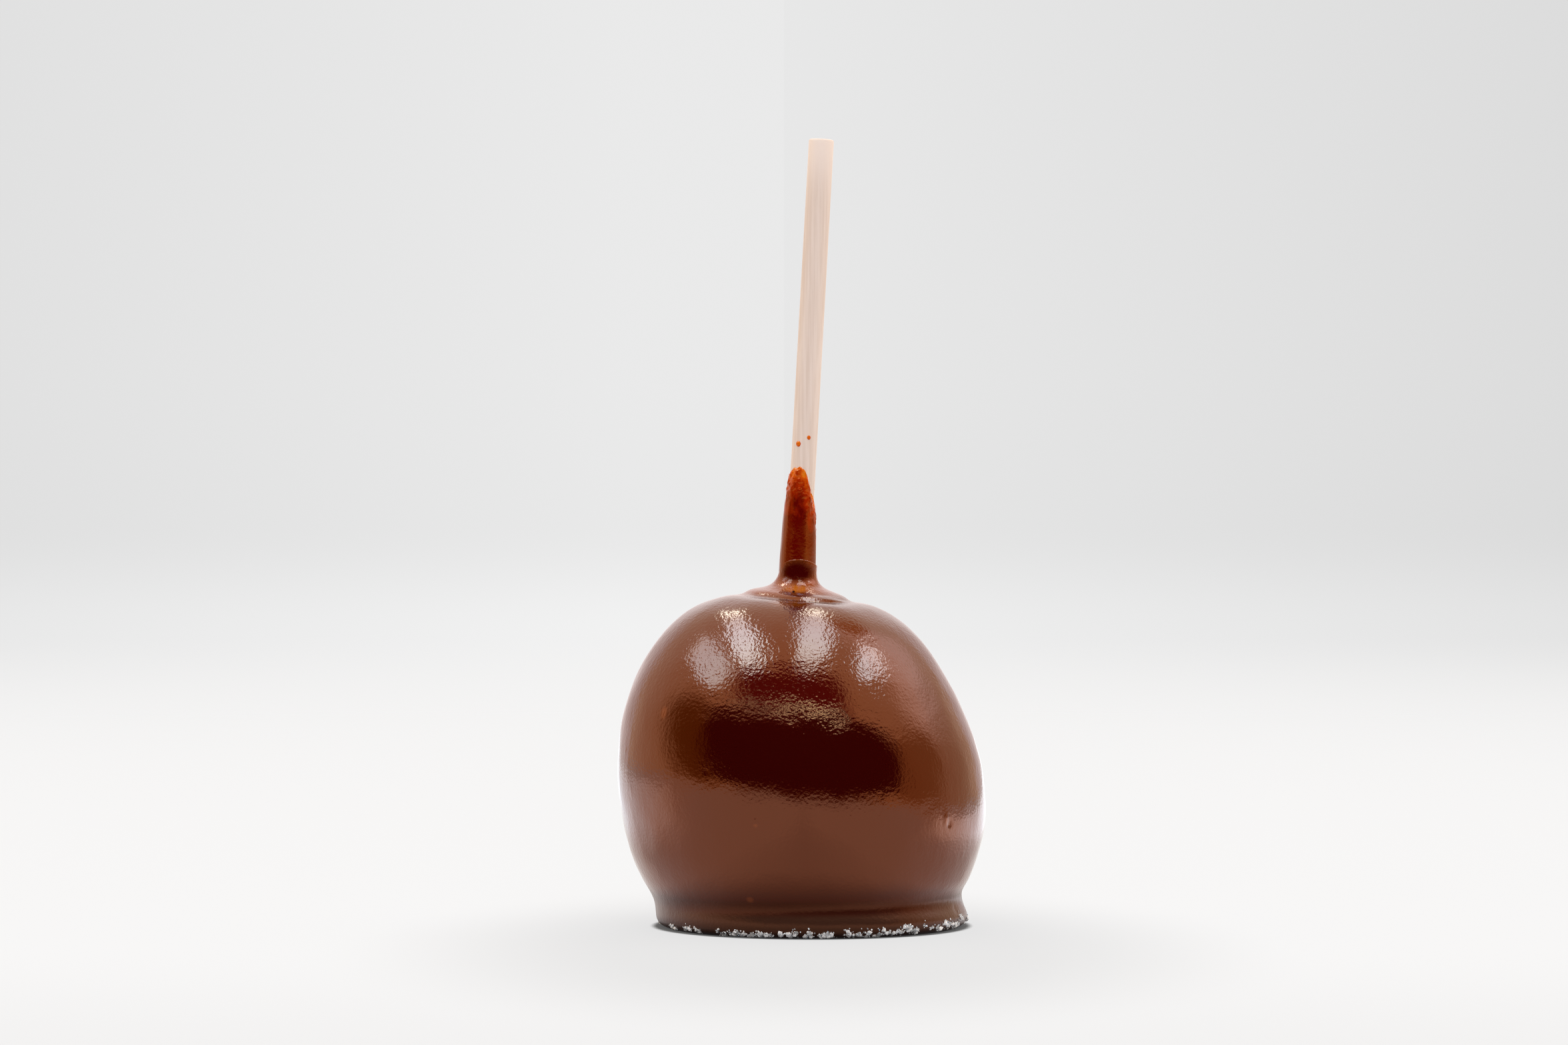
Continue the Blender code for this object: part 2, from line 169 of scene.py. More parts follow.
# Drops of caramel on the stick: side in degrees, height and radius in mm. Each is an ellipsoid.
DROPS = ((-30, 107.1, 0.58), (18, 108.6, 0.44))
DROP_SHAPE = (1.0, 0.75, 1.12)  # across, out from the stick and up, as shares of the radius
DROP_SUNK = 0.05 * MM
DROP_THICKNESS = 0.30  # in mm, for the caramel's colour

# Camera, by the photograph's framing.
CAMERA_DISTANCE = 1.018
CAMERA_HEIGHT = 89.7 * MM
CAMERA_X = -3.94 * MM
CAMERA_LENS = 105
CAMERA_SENSOR = 36


def smooth_step(low, high, value):
    share = np.clip((value - low) / (high - low), 0.0, 1.0)
    return share * share * (3 - 2 * share)


def natural_spline(knots, values, places):
    """The smooth curve through the values at the knots, read at each place."""
    steps = np.diff(knots)
    last = len(knots) - 1
    system = np.eye(last + 1)
    turns = np.zeros_like(values)
    for i in range(1, last):
        system[i, i - 1 : i + 2] = steps[i - 1], 2 * (steps[i - 1] + steps[i]), steps[i]
        rise_after = (values[i + 1] - values[i]) / steps[i]
        rise_before = (values[i] - values[i - 1]) / steps[i - 1]
        turns[i] = 6 * (rise_after - rise_before)
    bend = np.linalg.solve(system, turns)
    i = np.clip(np.searchsorted(knots, places) - 1, 0, last - 1)
    step = steps[i][:, None]
    after = (places - knots[i])[:, None]
    before = (knots[i + 1] - places)[:, None]
    curved = (bend[i] * before**3 + bend[i + 1] * after**3) / (6 * step)
    start = (values[i] / step - bend[i] * step / 6) * before
    end = (values[i + 1] / step - bend[i + 1] * step / 6) * after
    return curved + start + end


def turn_between(a, b):
    """The angle from b to a, between minus and plus half a turn."""
    return (a - b + np.pi) % (2 * np.pi) - np.pi


# Stick's axis

STICK_ACROSS = Vector((math.cos(STICK_LEAN), 0, -math.sin(STICK_LEAN)))


def stick_x(z):
    """How far to +X the stick's axis is at a height."""
    return STICK_TOP.x + (z - STICK_TOP.z) * math.tan(STICK_LEAN)


def round_the_stick(turns, z, radius):
    """Points about the stick's axis, for arrays of turns from +X, heights and radii."""
    across, back = np.array(STICK_ACROSS), np.array((0, 1, 0))
    outward = np.cos(turns)[..., None] * across + np.sin(turns)[..., None] * back
    centre = np.stack((stick_x(z), np.zeros_like(z), z), axis=-1)
    return centre + outward * radius[..., None]


# Meshes


def link_mesh(name, data):
    piece = bpy.data.objects.new(name, data)
    bpy.context.scene.collection.objects.link(piece)
    return piece


def link_built_mesh(name, mesh):
    """Makes a piece of a bmesh, and frees the bmesh."""
    data = bpy.data.meshes.new(name)
    mesh.to_mesh(data)
    mesh.free()
    return link_mesh(name, data)


def grid_mesh(name, points):
    """A mesh over rows of points, shape (rows, sides, 3), closed round each row."""
    rows, sides, _ = points.shape
    index = np.arange(rows * sides).reshape(rows, sides)
    around = np.roll(index, -1, axis=1)
    faces = np.stack((index[:-1], around[:-1], around[1:], index[1:]), axis=-1).reshape(-1, 4)
    data = bpy.data.meshes.new(name)
    data.from_pydata(points.reshape(-1, 3).tolist(), [], faces.tolist())
    return link_mesh(name, data)


def close_rows(piece, sides, top=True):
    """Fills the first row of a grid, and the last one if asked, with a flat face."""
    mesh = bmesh.new()
    mesh.from_mesh(piece.data)
    mesh.verts.ensure_lookup_table()
    mesh.faces.new([mesh.verts[i] for i in reversed(range(sides))])
    if top:
        mesh.faces.new(mesh.verts[-sides:])
    mesh.to_mesh(piece.data)
    mesh.free()


def give_values(data, name, values):
    """Stores one number for each point of a mesh, for its material to read."""
    attribute = data.attributes.new(name, "FLOAT", "POINT")
    attribute.data.foreach_set("value", np.asarray(values, dtype=np.float32).ravel())


def grid_normals(points):
    """Unit normals, pointing out, of a grid that closes round each row."""
    along = np.gradient(points, axis=0)
    around = np.roll(points, -1, axis=1) - np.roll(points, 1, axis=1)
    normals = np.cross(around, along)
    return normals / np.maximum(np.linalg.norm(normals, axis=2, keepdims=True), 1e-12)


def noise_field(points, size, seed):
    """Smooth noise, about -0.5 to 0.5, of about that feature size, one value for each point."""
    shift = Vector((seed * 7.3, seed * 3.1, seed * 5.7))
    flat = points.reshape(-1, 3) / size
    values = [noise.noise(Vector(point) + shift) for point in flat]
    return np.array(values).reshape(points.shape[:-1])


# Coat


def lobe_height(side, reach, z):
    rise = smooth_step(*LOBES_RISE_Z, z) * smooth_step(*LOBES_FALL_REACH, reach)
    total = 0.0
    for count, height, crest in LOBES:
        total = total + height * MM * np.cos(count * (side - crest))
    return rise * total


def outline_knots():
    stations = np.array([[*left, *right] for left, right in OUTLINE.values()]) * MM
    middle = (stations[:, :2] + stations[:, 2:]) / 2
    lengths = np.linalg.norm(np.diff(middle, axis=0), axis=1)
    return np.concatenate(([0.0], np.cumsum(lengths))), stations


def coat_surface(places, turns):
    """The coat's points at places up its outline and turns round from +X, both broadcast arrays."""
    knots, stations = outline_knots()
    read = natural_spline(knots, stations, np.ravel(places)).reshape(*np.shape(places), 4)
    to_right = (1 + np.cos(turns)) / 2
    reach = read[..., 0] + (read[..., 2] - read[..., 0]) * to_right
    z = read[..., 1] + (read[..., 3] - read[..., 1]) * to_right
    start, full, last, end = FRONT_SAG_REACH
    sagging = smooth_step(start, full, reach) * smooth_step(end, last, reach) * (z > FRONT_SAG_ABOVE)
    z = z - FRONT_SAG * sagging * np.maximum(-np.sin(turns), 0) ** 2
    reach = reach * (1 - FRONT_FULLNESS * np.sin(turns))
    middle, half_height, depth = WAIST_HOLLOW
    reach = reach - depth * np.exp(-(((z - middle) / half_height) ** 2)) * np.maximum(-np.sin(turns), 0)
    tilt = np.arctan2(z, reach) / 2
    lobe = lobe_height(turns + np.pi / 2, reach, z)
    reach, z = reach + lobe * np.cos(tilt), z + lobe * np.sin(tilt)
    return np.stack((reach * np.cos(turns), reach * np.sin(turns), np.maximum(z, 0.0)), axis=-1)


def coat_points():
    """The coat's surface as a grid of points: rows up the outline, sides round from +X to +Y."""
    knots, _ = outline_knots()
    places = [knots[0]]
    for start, end, rows in zip(knots, knots[1:], COAT_ROWS):
        places += list(np.linspace(start, end, rows + 1)[1:])
    turns = 2 * np.pi * np.arange(COAT_SIDES) / COAT_SIDES
    places, turns = np.meshgrid(places, turns, indexing="ij")
    points = coat_surface(places, turns)
    points[0, :, 2] = 0.0
    return points


def add_marks_and_waves(points):
    """Dents, bumps and swellings of the caramel, and slow waves that leave out its foot and collar."""
    z = points[..., 2]
    lift = np.zeros_like(z)
    for size, height, seed in WAVES:
        lift += 2 * height * noise_field(points, size, seed)
    lift *= smooth_step(*WAVES_RISE_Z, z) * (1 - smooth_step(*WAVES_FALL_Z, z))
    side = np.arctan2(points[..., 0], -points[..., 1])
    reach = np.hypot(points[..., 0], points[..., 1])
    for mark_side, mark_z, half_width, half_height, height in MARKS:
        across = turn_between(side, math.radians(mark_side)) * reach / (half_width * MM)
        up = (z - mark_z * MM) / (half_height * MM)
        lift += height * MM * np.exp(-(across**2 + up**2))
    for middle, half_height, relief in FOOT_SWELLINGS:
        lift += relief * np.exp(-(((z - middle) / half_height) ** 2)) * np.maximum(np.cos(side), 0)
    return points + grid_normals(points) * lift[..., None]


def add_fold(points):
    """Raises the skirt's edge in front into a low fold."""
    side = np.degrees(np.arctan2(points[..., 0], -points[..., 1]))
    reach = np.hypot(points[..., 0], points[..., 1])
    start, highest, dropped = FOLD_REACH
    fold = smooth_step(start, highest, reach) * smooth_step(dropped, highest, reach)
    middle, half_width = FOLD_SIDE
    fold *= np.exp(-(((side - middle) / half_width) ** 4)) * (points[..., 2] > SKIRT_ABOVE)
    points[..., 2] += FOLD_HEIGHT * fold
    return points


def add_collar_lip(points):
    """Arches the collar up in front and rolls its lip over onto the sleeve."""
    rows_up = smooth_step(*COLLAR_ARCH_Z, points[..., 2])
    to_front = np.maximum(-points[..., 1] / COLLAR_REACH, 0)
    points[..., 2] += COLLAR_ARCH * rows_up * to_front**COLLAR_ARCH_POWER
    top = points[-1]
    axis = np.stack((stick_x(top[:, 2]), np.zeros(len(top)), top[:, 2]), axis=-1)
    inward = axis - top
    inward /= np.linalg.norm(inward, axis=1, keepdims=True)
    roll = []
    for turn in np.linspace(0, np.pi / 2, COLLAR_ROLL_ROWS + 1)[1:]:
        shift = inward * (1 - np.cos(turn)) * COLLAR_ROLL
        roll.append(top + COLLAR_ROUNDING * (shift + np.array((0, 0, 1)) * np.sin(turn)))
    return np.concatenate((points, np.array(roll)))


def make_coat():
    points = add_collar_lip(add_fold(add_marks_and_waves(coat_points())))
    coat = grid_mesh("caramel_coat", points)
    close_rows(coat, COAT_SIDES, top=False)
    coat.data.shade_smooth()
    return coat


# Caramel sleeve


def sleeve_edge_z(side):
    """The height of the tongue's edge at an angle from the front towards +X."""
    sides, heights = np.array(SLEEVE_EDGE).T
    return np.interp(np.degrees(turn_between(side, 0)), sides, heights) * MM


def sleeve_thickness(below):
    """The caramel's thickness at a depth below its edge: a blunt edge that swells to a full wall."""
    depth = np.maximum(below, 0) / MM
    swelling = SLEEVE_SWELLING * np.sqrt(depth) + 1e-6
    thickness = (swelling**-4 + (SLEEVE_THICKNESS / MM) ** -4) ** -0.25 * MM
    rounding = np.clip(depth / (SLEEVE_EDGE_ROUNDING / MM), 0, 1)
    return np.maximum(thickness, SLEEVE_EDGE_THICKNESS * np.sqrt(1 - (1 - rounding) ** 2))


def rough(points, size, height, seed):
    """How far noise of that size, height and seed lifts each point."""
    return height * noise_field(points, size, seed)


def make_sleeve():
    shares = 1 - (1 - np.linspace(0, 1, SLEEVE_ROWS)) ** SLEEVE_CROWDING
    turns = 2 * np.pi * np.arange(SLEEVE_SIDES) / SLEEVE_SIDES
    shares, turns = np.meshgrid(shares, turns, indexing="ij")
    ring = round_the_stick(turns, *(np.full_like(turns, value) for value in SLEEVE_RAGGED_RING))
    edge = sleeve_edge_z(turns + np.pi / 2) + rough(ring, *SLEEVE_RAGGED_EDGE)
    z = SLEEVE_FOOT_Z + (edge - SLEEVE_FOOT_Z) * shares
    thickness = sleeve_thickness(edge - z)
    smooth = round_the_stick(turns, z, STICK_RADIUS + thickness)
    lumps = sum(rough(smooth, *lump) for lump in SLEEVE_LUMPS)
    lumps = lumps * (1 - smooth_step(*SLEEVE_LUMPS_FADE, edge - z))
    waves = rough(smooth * SLEEVE_WAVES_STRETCH, *SLEEVE_WAVES)
    thickness = thickness + (lumps + waves) * smooth_step(0, SLEEVE_EVEN_EDGE, edge - z)
    sleeve = grid_mesh("caramel_tongue", round_the_stick(turns, z, STICK_RADIUS + thickness))
    give_values(sleeve.data, "thickness", thickness / MM)
    sleeve.data.shade_smooth()
    return sleeve


# Stick


def make_stick():
    """The dowel, with its ends rounded over."""
    foot = STICK_TOP.z - STICK_LENGTH * math.cos(STICK_LEAN)
    arc = np.linspace(0, np.pi / 2, STICK_ARC_POINTS)
    radius = STICK_RADIUS - STICK_ROUNDING * (1 - np.sin(arc))
    rise = STICK_ROUNDING * (1 - np.cos(arc))
    middle = np.linspace(foot + STICK_ROUNDING, STICK_TOP.z - STICK_ROUNDING, STICK_ROWS)[1:-1]
    z = np.concatenate((foot + rise, middle, STICK_TOP.z - rise[::-1]))
    radius = np.concatenate((radius, np.full(len(middle), STICK_RADIUS), radius[::-1]))
    turns = 2 * np.pi * np.arange(STICK_SIDES) / STICK_SIDES
    z, turns = np.meshgrid(z, turns, indexing="ij")
    radius = np.repeat(radius[:, None], STICK_SIDES, axis=1)
    stick = grid_mesh("dowel", round_the_stick(turns, z, radius))
    close_rows(stick, STICK_SIDES)
    stick.data.shade_smooth()
    stick.data.set_sharp_from_angle(angle=STICK_SHARP_ANGLE)
    return stick


def make_drops():
    """Small domes of caramel that stuck to the stick."""
    mesh = bmesh.new()
    for side, z, radius in DROPS:
        turn = np.array(math.radians(side - 90))
        middle = round_the_stick(turn, np.array(z * MM), np.array(STICK_RADIUS - DROP_SUNK))
        place = Matrix.Translation(Vector(middle)) @ Matrix.Rotation(math.radians(side), 4, "Z")
        dome = place @ Matrix.Diagonal((*(share * radius * MM for share in DROP_SHAPE), 1))
        bmesh.ops.create_icosphere(mesh, subdivisions=3, radius=1, matrix=dome)
    drops = link_built_mesh("caramel_drops", mesh)
    give_values(drops.data, "thickness", np.full(len(drops.data.vertices), DROP_THICKNESS))
    drops.data.shade_smooth()
    return drops


# Sugar


def rim_point(turn, height):
    """The point of the rim at that turn from +X and that height."""
    knots, _ = outline_knots()
    foot = list(OUTLINE).index("foot")
    places = np.linspace(knots[0], knots[foot], RIM_PLACES)
    points = coat_surface(places, np.full(RIM_PLACES, turn))
    return Vector(points[int(np.argmax(points[:, 2] >= height))])


def add_grain(mesh, draw, size, turn, height, segments, out=0.0):
    """Adds one sugar crystal, sunk a little into the rim: a squat box with its edges cut off."""
    made = bmesh.ops.create_cube(mesh, size=1.0)["verts"]
    edges = {edge for vert in made for edge in vert.link_edges}
    offset = GRAIN_BEVEL / 2
    bevel = bmesh.ops.bevel(mesh, geom=list(edges), offset=offset, segments=segments, affect="EDGES")
    made = list({vert for face in bevel["faces"] for vert in face.verts})
    proportions = Vector((1.0, *(draw.uniform(*span) for span in GRAIN_PROPORTIONS)))
    attitude = Euler([draw.uniform(0, 2 * math.pi) for _ in range(3)]).to_matrix()
    for vert in made:
        vert.co = attitude @ Vector(a * b * size for a, b in zip(vert.co, proportions))
    rim = rim_point(turn, height)
    outward = Vector((math.cos(turn), math.sin(turn), 0))
    middle = rim + outward * (out - GRAIN_SUNK)
    middle.z = max(middle.z, GRAIN_CLEARANCE - min(vert.co.z for vert in made))
    for vert in made:
        vert.co += middle
    return len(made)


def make_sugar():
    """The grains of every clump and the crumbs about them, as one mesh."""
    mesh = bmesh.new()
    draw = random.Random(GRAIN_SEED)
    crumbs = random.Random(GRAIN_SEED + 1)
    clearness = []
    for side, clump_z, count in CLUMPS:
        for _ in range(count):
            turn = draw.gauss(math.radians(side - 90), CLUMP_SPREAD)
            height = max(LOWEST_GRAIN_Z, draw.gauss(clump_z * MM, CLUMP_RISE))
            size = draw.uniform(*GRAIN_SIZE)
            clear = crumbs.random() ** GRAIN_WHITENESS
            clearness += [clear] * add_grain(mesh, draw, size, turn, height, 2)
            for _ in range(CRUMBS_PER_GRAIN):
                near_turn = turn + crumbs.gauss(0, CRUMB_SPREAD / RIM_REACH)
                near_z = max(LOWEST_CRUMB_Z, crumbs.gauss(height, CRUMB_RISE))
                crumb_size = crumbs.uniform(*CRUMB_SIZE)
                crumb_clear = crumbs.random()
                apart = math.hypot((near_turn - turn) * RIM_REACH, near_z - height) / size
                out = crumbs.uniform(0, CRUMB_OUT) * max(0, 1 - apart**2)
                count_made = add_grain(mesh, crumbs, crumb_size, near_turn, near_z, 1, out)
                clearness += [crumb_clear] * count_made
    sugar = link_built_mesh("sugar_grains", mesh)
    give_values(sugar.data, "clear", clearness)
    return sugar


# Materials


class Nodes:
    """A short way to add nodes to the tree of a material, lamp or world and to wire them up."""

    def __init__(self, tree):
        self.tree = tree

    def give(self, node, inputs):
        """Sets or wires a node's inputs."""
        for key, value in inputs.items():
            if isinstance(value, bpy.types.NodeSocket):
                self.tree.links.new(value, node.inputs[key])
            else:
                node.inputs[key].default_value = value

    def shade(self, shader, **inputs):
        """Sets or wires a shader's inputs, named with underscores for spaces."""
        self.give(shader, {key.replace("_", " "): value for key, value in inputs.items()})

    def add(self, kind, inputs=None, **settings):
        node = self.tree.nodes.new(kind)
        for key, value in settings.items():
            setattr(node, key, value)
        self.give(node, inputs or {})
        return node

    def math(self, operation, *values):
        return self.add("ShaderNodeMath", dict(enumerate(values)), operation=operation).outputs[0]

    def total(self, first, *others):
        for other in others:
            first = self.math("ADD", first, other)
        return first

    def product(self, first, *others):
        for other in others:
            first = self.math("MULTIPLY", first, other)
        return first

    def apart(self, value, middle):
        """How far a number is from another."""
        return self.math("ABSOLUTE", self.math("SUBTRACT", value, middle))

    def ease(self, value, low, high, at_low=0.0, at_high=1.0):
        """A smooth change from at_low to at_high as value goes from low to high."""
        inputs = {"Value": value, "From Min": low, "From Max": high, "To Min": at_low, "To Max": at_high}
        return self.add("ShaderNodeMapRange", inputs, interpolation_type="SMOOTHSTEP").outputs["Result"]

    def mix(self, share, a, b):
        """A number between a and b."""
        return self.add("ShaderNodeMix", {0: share, 2: a, 3: b}, data_type="FLOAT").outputs[0]

    def blend(self, share, a, b):
        """A colour between a and b."""
        inputs = {0: share, 6: a if isinstance(a, bpy.types.NodeSocket) else (*a, 1)}
        inputs[7] = b if isinstance(b, bpy.types.NodeSocket) else (*b, 1)
        return self.add("ShaderNodeMix", inputs, data_type="RGBA").outputs[2]

    def noise(self, vector, scale, detail):
        inputs = {"Vector": vector, "Scale": scale, "Detail": detail}
        return self.add("ShaderNodeTexNoise", inputs).outputs["Fac"]

    def ramp(self, value, stops):
        """A colour ramp through (place, colour) stops."""
        node = self.add("ShaderNodeValToRGB", {"Fac": value})
        elements = node.color_ramp.elements
        while len(elements) < len(stops):
            elements.new(0.5)
        for element, (place, colour) in zip(elements, stops):
            element.position = place
            element.color = (*colour, 1)
        return node.outputs["Color"]

    def bump(self, height, distance):
        """The normal of a relief of that height, as a share of a distance in metres."""
        inputs = {"Height": height, "Distance": distance, "Strength": 1.0}
        return self.add("ShaderNodeBump", inputs).outputs["Normal"]

    def axes(self, vector):
        return self.add("ShaderNodeSeparateXYZ", {0: vector}).outputs

    def vector_math(self, operation, *values):
        return self.add("ShaderNodeVectorMath", dict(enumerate(values)), operation=operation).outputs

    def scaled(self, vector, scale):
        return self.vector_math("MULTIPLY", vector, scale)["Vector"]

    def length(self, vector):
        return self.vector_math("LENGTH", vector)["Value"]

    def distance(self, place, middle):
        return self.vector_math("DISTANCE", place, middle)["Value"]

    def near(self, place, middle, radii):
        """1 about a middle in mm, 0 outside the ellipsoid of those radii in mm round it."""
        shift = self.vector_math("SUBTRACT", place, Vector(middle) * MM)["Vector"]
        scale = Vector([1 / (radius * MM) for radius in radii])
        return self.ease(self.length(self.scaled(shift, scale)), SPOT_CORE, 1.0, 1.0, 0.0)


def new_material(name):
    """A material with a bare Principled shader: (material, nodes, shader)."""
    material = bpy.data.materials.new(name)
    material.use_nodes = True
    return material, Nodes(material.node_tree), material.node_tree.nodes["Principled BSDF"]


# Caramel of the coat. A pair of heights is where a change starts and where it is full.

CARAMEL_IOR = 1.68
COAT_COLOUR = (0.033, 0.0009, 0.0006)
COAT_SHEEN = (1.0, 0.34, 0.15)
NECK_COLOUR = (0.17, 0.032, 0.005)
NECK_SHEEN = (1.0, 0.24, 0.06)
NECK_Z = (72.6 * MM, 74.8 * MM)
FOOT_COLOUR = (0.040, 0.015, 0.009)
FOOT_COLOUR_Z = (6.2 * MM, 4.2 * MM)
FOOT_ROUGH_Z = (13 * MM, 6 * MM)
FOOT_DULL_Z = (10.5 * MM, 7 * MM)
FOOT_DULLNESS = 0.55
ROUGHNESS_RANGE = (0.07, 0.30)  # above and at the foot
SPECULAR_RANGE = (1.0, 0.15)  # shiny and dull
# Painted shade: a dark ring darkens the coat round the waist, where the waist turns out into the foot.
WAIST_SHADE_COLOUR = (0.006, 0.0004, 0.0003)
CREASE_Z = 6.8 * MM  # where the waist turns out into the foot
CREASE_REACH = (0.5 * MM, 1.8 * MM)  # up and down from there, where it starts to fade and has gone
WAIST_SHADE_SHARE = 0.55
ORANGE = (0.17, 0.032, 0.006)
ORANGE_SHARE = 0.5
ORANGE_SPOTS = (
    ((-30.0, -25.6, 48.4), (1.3, 1.3, 2.0)),
    ((-11.3, -33.2, 8.4), (1.1, 1.1, 1.0)),
    ((-10.0, -39.0, 24.9), (0.8, 1.2, 0.7)),
    ((31.0, -26.3, 25.0), (0.9, 1.2, 1.6)),
)
# Spots in the hollow and on the collar, painted light among them: middle and radii in mm, colour, and
# whether they are dull. Each one covers those before it.
HOLLOW_SPOTS_AND_PAINTED_LIGHT = (
    ((-1.1, -7.2, 75.1), (4.4, 3.4, 1.5), (0.42, 0.115, 0.010), True),  # amber pool: the amber of thin caramel, brightened with painted light shining through it
    ((-2.0, -16.0, 72.0), (6.4, 6.4, 2.6), (0.13, 0.030, 0.003), False),  # painted reflection of the sleeve, in front of the pool
    ((-1.1, -4.8, 78.8), (6.6, 6.0, 3.5), (0.050, 0.0010, 0.0008), True),  # dark oval: painted reflection of the dark opening on the camera's side
    ((-1.83, -8.3, 74.4), (0.42, 2.0, 0.42), (0.02, 0.002, 0.0005), True),  # bubble
)
SPOT_CORE = 0.35  # the share of its radii within which a spot is full
PEEL_SCALE = 1500
PEEL_Z = (49 * MM, 59 * MM)
PEEL_HEIGHTS = (0.8, 1.4)  # below and above
STREAKS_SCALE = 900
STREAKS_STRETCH = (1.0, 1.0, 0.12)
STREAKS_X = (14 * MM, 30 * MM)  # left and right of the middle, where they start and are full
STREAKS_HEIGHT = 0.5
COAT_RELIEF = 0.055 * MM


def caramel_relief(nodes, place, axes):
    """The height of the orange peel, rougher high up, and of upright streaks on both flanks."""
    peel = nodes.noise(place, PEEL_SCALE, 1.5)
    peel = nodes.product(peel, nodes.ease(axes["Z"], *PEEL_Z, *PEEL_HEIGHTS))
    streaks = nodes.noise(nodes.scaled(place, STREAKS_STRETCH), STREAKS_SCALE, 1.0)
    sideways = nodes.math("ABSOLUTE", axes["X"])
    streaks = nodes.product(streaks, nodes.ease(sideways, *STREAKS_X, 0.0, STREAKS_HEIGHT))
    return nodes.total(peel, streaks)


def caramel_colour(nodes, place, z, neck):
    """The coat's colour up its height, with painted shade in a ring round the waist, and the orange
    spots.
    """
    colour = nodes.blend(neck, COAT_COLOUR, NECK_COLOUR)
    colour = nodes.blend(nodes.ease(z, *FOOT_COLOUR_Z), colour, FOOT_COLOUR)
    # painted shade in a ring round the waist
    waist_shade = nodes.ease(nodes.apart(z, CREASE_Z), *CREASE_REACH, WAIST_SHADE_SHARE, 0.0)
    colour = nodes.blend(waist_shade, colour, WAIST_SHADE_COLOUR)
    for middle, radii in ORANGE_SPOTS:
        spot = nodes.near(place, middle, radii)
        colour = nodes.blend(nodes.product(spot, ORANGE_SHARE), colour, ORANGE)
    return colour


def caramel_material():
    material, nodes, shader = new_material("caramel")
    place = nodes.add("ShaderNodeTexCoord").outputs["Object"]
    axes = nodes.axes(place)
    z = axes["Z"]
    neck = nodes.ease(z, *NECK_Z)
    colour = caramel_colour(nodes, place, z, neck)
    dull = nodes.product(nodes.ease(z, *FOOT_DULL_Z), FOOT_DULLNESS)
    # spots in the hollow and on the collar, painted reflections and painted light among them
    for middle, radii, spot_colour, is_dull in HOLLOW_SPOTS_AND_PAINTED_LIGHT:
        spot = nodes.near(place, middle, radii)
        colour = nodes.blend(spot, colour, spot_colour)
        if is_dull:
            dull = nodes.math("MAXIMUM", dull, spot)
    nodes.shade(
        shader,
        Base_Color=colour,
        Roughness=nodes.mix(nodes.ease(z, *FOOT_ROUGH_Z), *ROUGHNESS_RANGE),
        IOR=CARAMEL_IOR,
        Specular_IOR_Level=nodes.mix(dull, *SPECULAR_RANGE),
        Specular_Tint=nodes.blend(neck, COAT_SHEEN, NECK_SHEEN),
        Normal=nodes.bump(caramel_relief(nodes, place, axes), COAT_RELIEF),
    )
    return material


# Caramel of the tongue: its colour at each thickness, as a share of the full wall.

TONGUE_COLOURS = (
    (0.05, (0.78, 0.19, 0.008)),
    (0.24, (0.66, 0.080, 0.002)),
    (0.44, (0.38, 0.018, 0.0006)),
    (0.74, (0.12, 0.0012, 0.0005)),
)
TONGUE_SHEEN = (1.0, 0.34, 0.05, 1)
TONGUE_IOR = 1.60
CLOUDS_SCALE = 700
CLOUDS_STRETCH = (1.0, 1.0, 0.5)
CLOUDS_SHARES = (-0.10, 0.10)  # the least and most that the clouds add to that share


def tongue_material():
    material, nodes, shader = new_material("amber_caramel")
    thickness = nodes.add("ShaderNodeAttribute", attribute_name="thickness").outputs["Fac"]
    place = nodes.add("ShaderNodeTexCoord").outputs["Object"]
    clouds = nodes.noise(nodes.scaled(place, CLOUDS_STRETCH), CLOUDS_SCALE, 2.0)
    share = nodes.math("DIVIDE", thickness, SLEEVE_THICKNESS / MM)
    share = nodes.total(share, nodes.ease(clouds, 0.3, 0.7, *CLOUDS_SHARES))
    nodes.shade(
        shader,
        Base_Color=nodes.ramp(share, TONGUE_COLOURS),
        Roughness=0.12,
        IOR=TONGUE_IOR,
        Specular_IOR_Level=1.0,
        Specular_Tint=TONGUE_SHEEN,
        Normal=nodes.bump(nodes.noise(place, 1600, 1.0), 0.03 * MM),
    )
    return material


# Birch and sugar

BIRCH_LIGHT = (0.84, 0.665, 0.56)
BIRCH_DARK = (0.77, 0.59, 0.48)
BIRCH_TOP = (0.93, 0.75, 0.64)
BIRCH_TOP_Z = (160 * MM, 174 * MM)
BIRCH_GRAIN_STRETCH = (1.0, 1.0, 0.03)
SUGAR_COLOUR = (1.0, 0.96, 0.93, 1)
SUGAR_IOR = 1.54


def birch_material():
    material, nodes, shader = new_material("birch")
    place = nodes.add("ShaderNodeTexCoord").outputs["Object"]
    grain = nodes.noise(nodes.scaled(place, BIRCH_GRAIN_STRETCH), 1500, 3.0)
    colour = nodes.blend(nodes.ease(grain, 0.35, 0.65), BIRCH_LIGHT, BIRCH_DARK)
    z = nodes.axes(place)["Z"]
    nodes.shade(
        shader,
        Base_Color=nodes.blend(nodes.ease(z, *BIRCH_TOP_Z), colour, BIRCH_TOP),
        Roughness=0.62,
        Specular_IOR_Level=0.3,
        Normal=nodes.bump(grain, 0.04 * MM),
    )
    return material


def sugar_material():
    """Grains from white to nearly clear, by the number that each grain was given."""
    material, nodes, shader = new_material("sugar")
    clear = nodes.add("ShaderNodeAttribute", attribute_name="clear").outputs["Fac"]
    nodes.shade(
        shader,
        Base_Color=SUGAR_COLOUR,
        Roughness=0.12,
        IOR=SUGAR_IOR,
        Transmission_Weight=nodes.ease(clear, 0.1, 1.0, 0.0, 0.85),
    )
    return material


# Floor. It glows with painted light and shadows, both as the camera sees it and as the caramel mirrors
# it.

